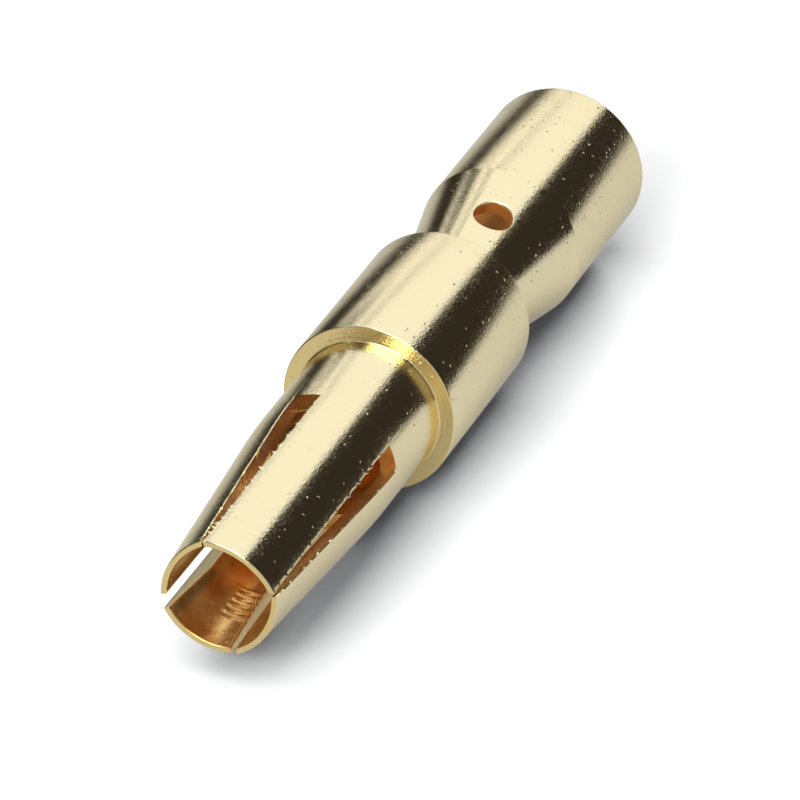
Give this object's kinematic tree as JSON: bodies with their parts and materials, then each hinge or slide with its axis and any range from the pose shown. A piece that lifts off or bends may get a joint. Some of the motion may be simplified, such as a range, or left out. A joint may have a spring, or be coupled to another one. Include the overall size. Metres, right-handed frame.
{
  "type": "crimp socket contact",
  "caption": "Turned crimp socket contact: slotted spring sleeve closed in at its mouth, plain locating collar, coned neck with an inspection hole, and a hollow crimp barrel.",
  "frame": {"origin": "centre of the wire end's flat rim, on which the contact stands", "axes": "+Z along the contact's axis, from the wire end to the mating mouth; -Y through the inspection hole"},
  "size_m": [0.0032, 0.0032, 0.0175],
  "materials": {
    "gold_plate": "bright gold plating over turned copper alloy"
  },
  "bodies": {
    "root": {"socket_contact": "gold_plate"}
  },
  "joints": []
}
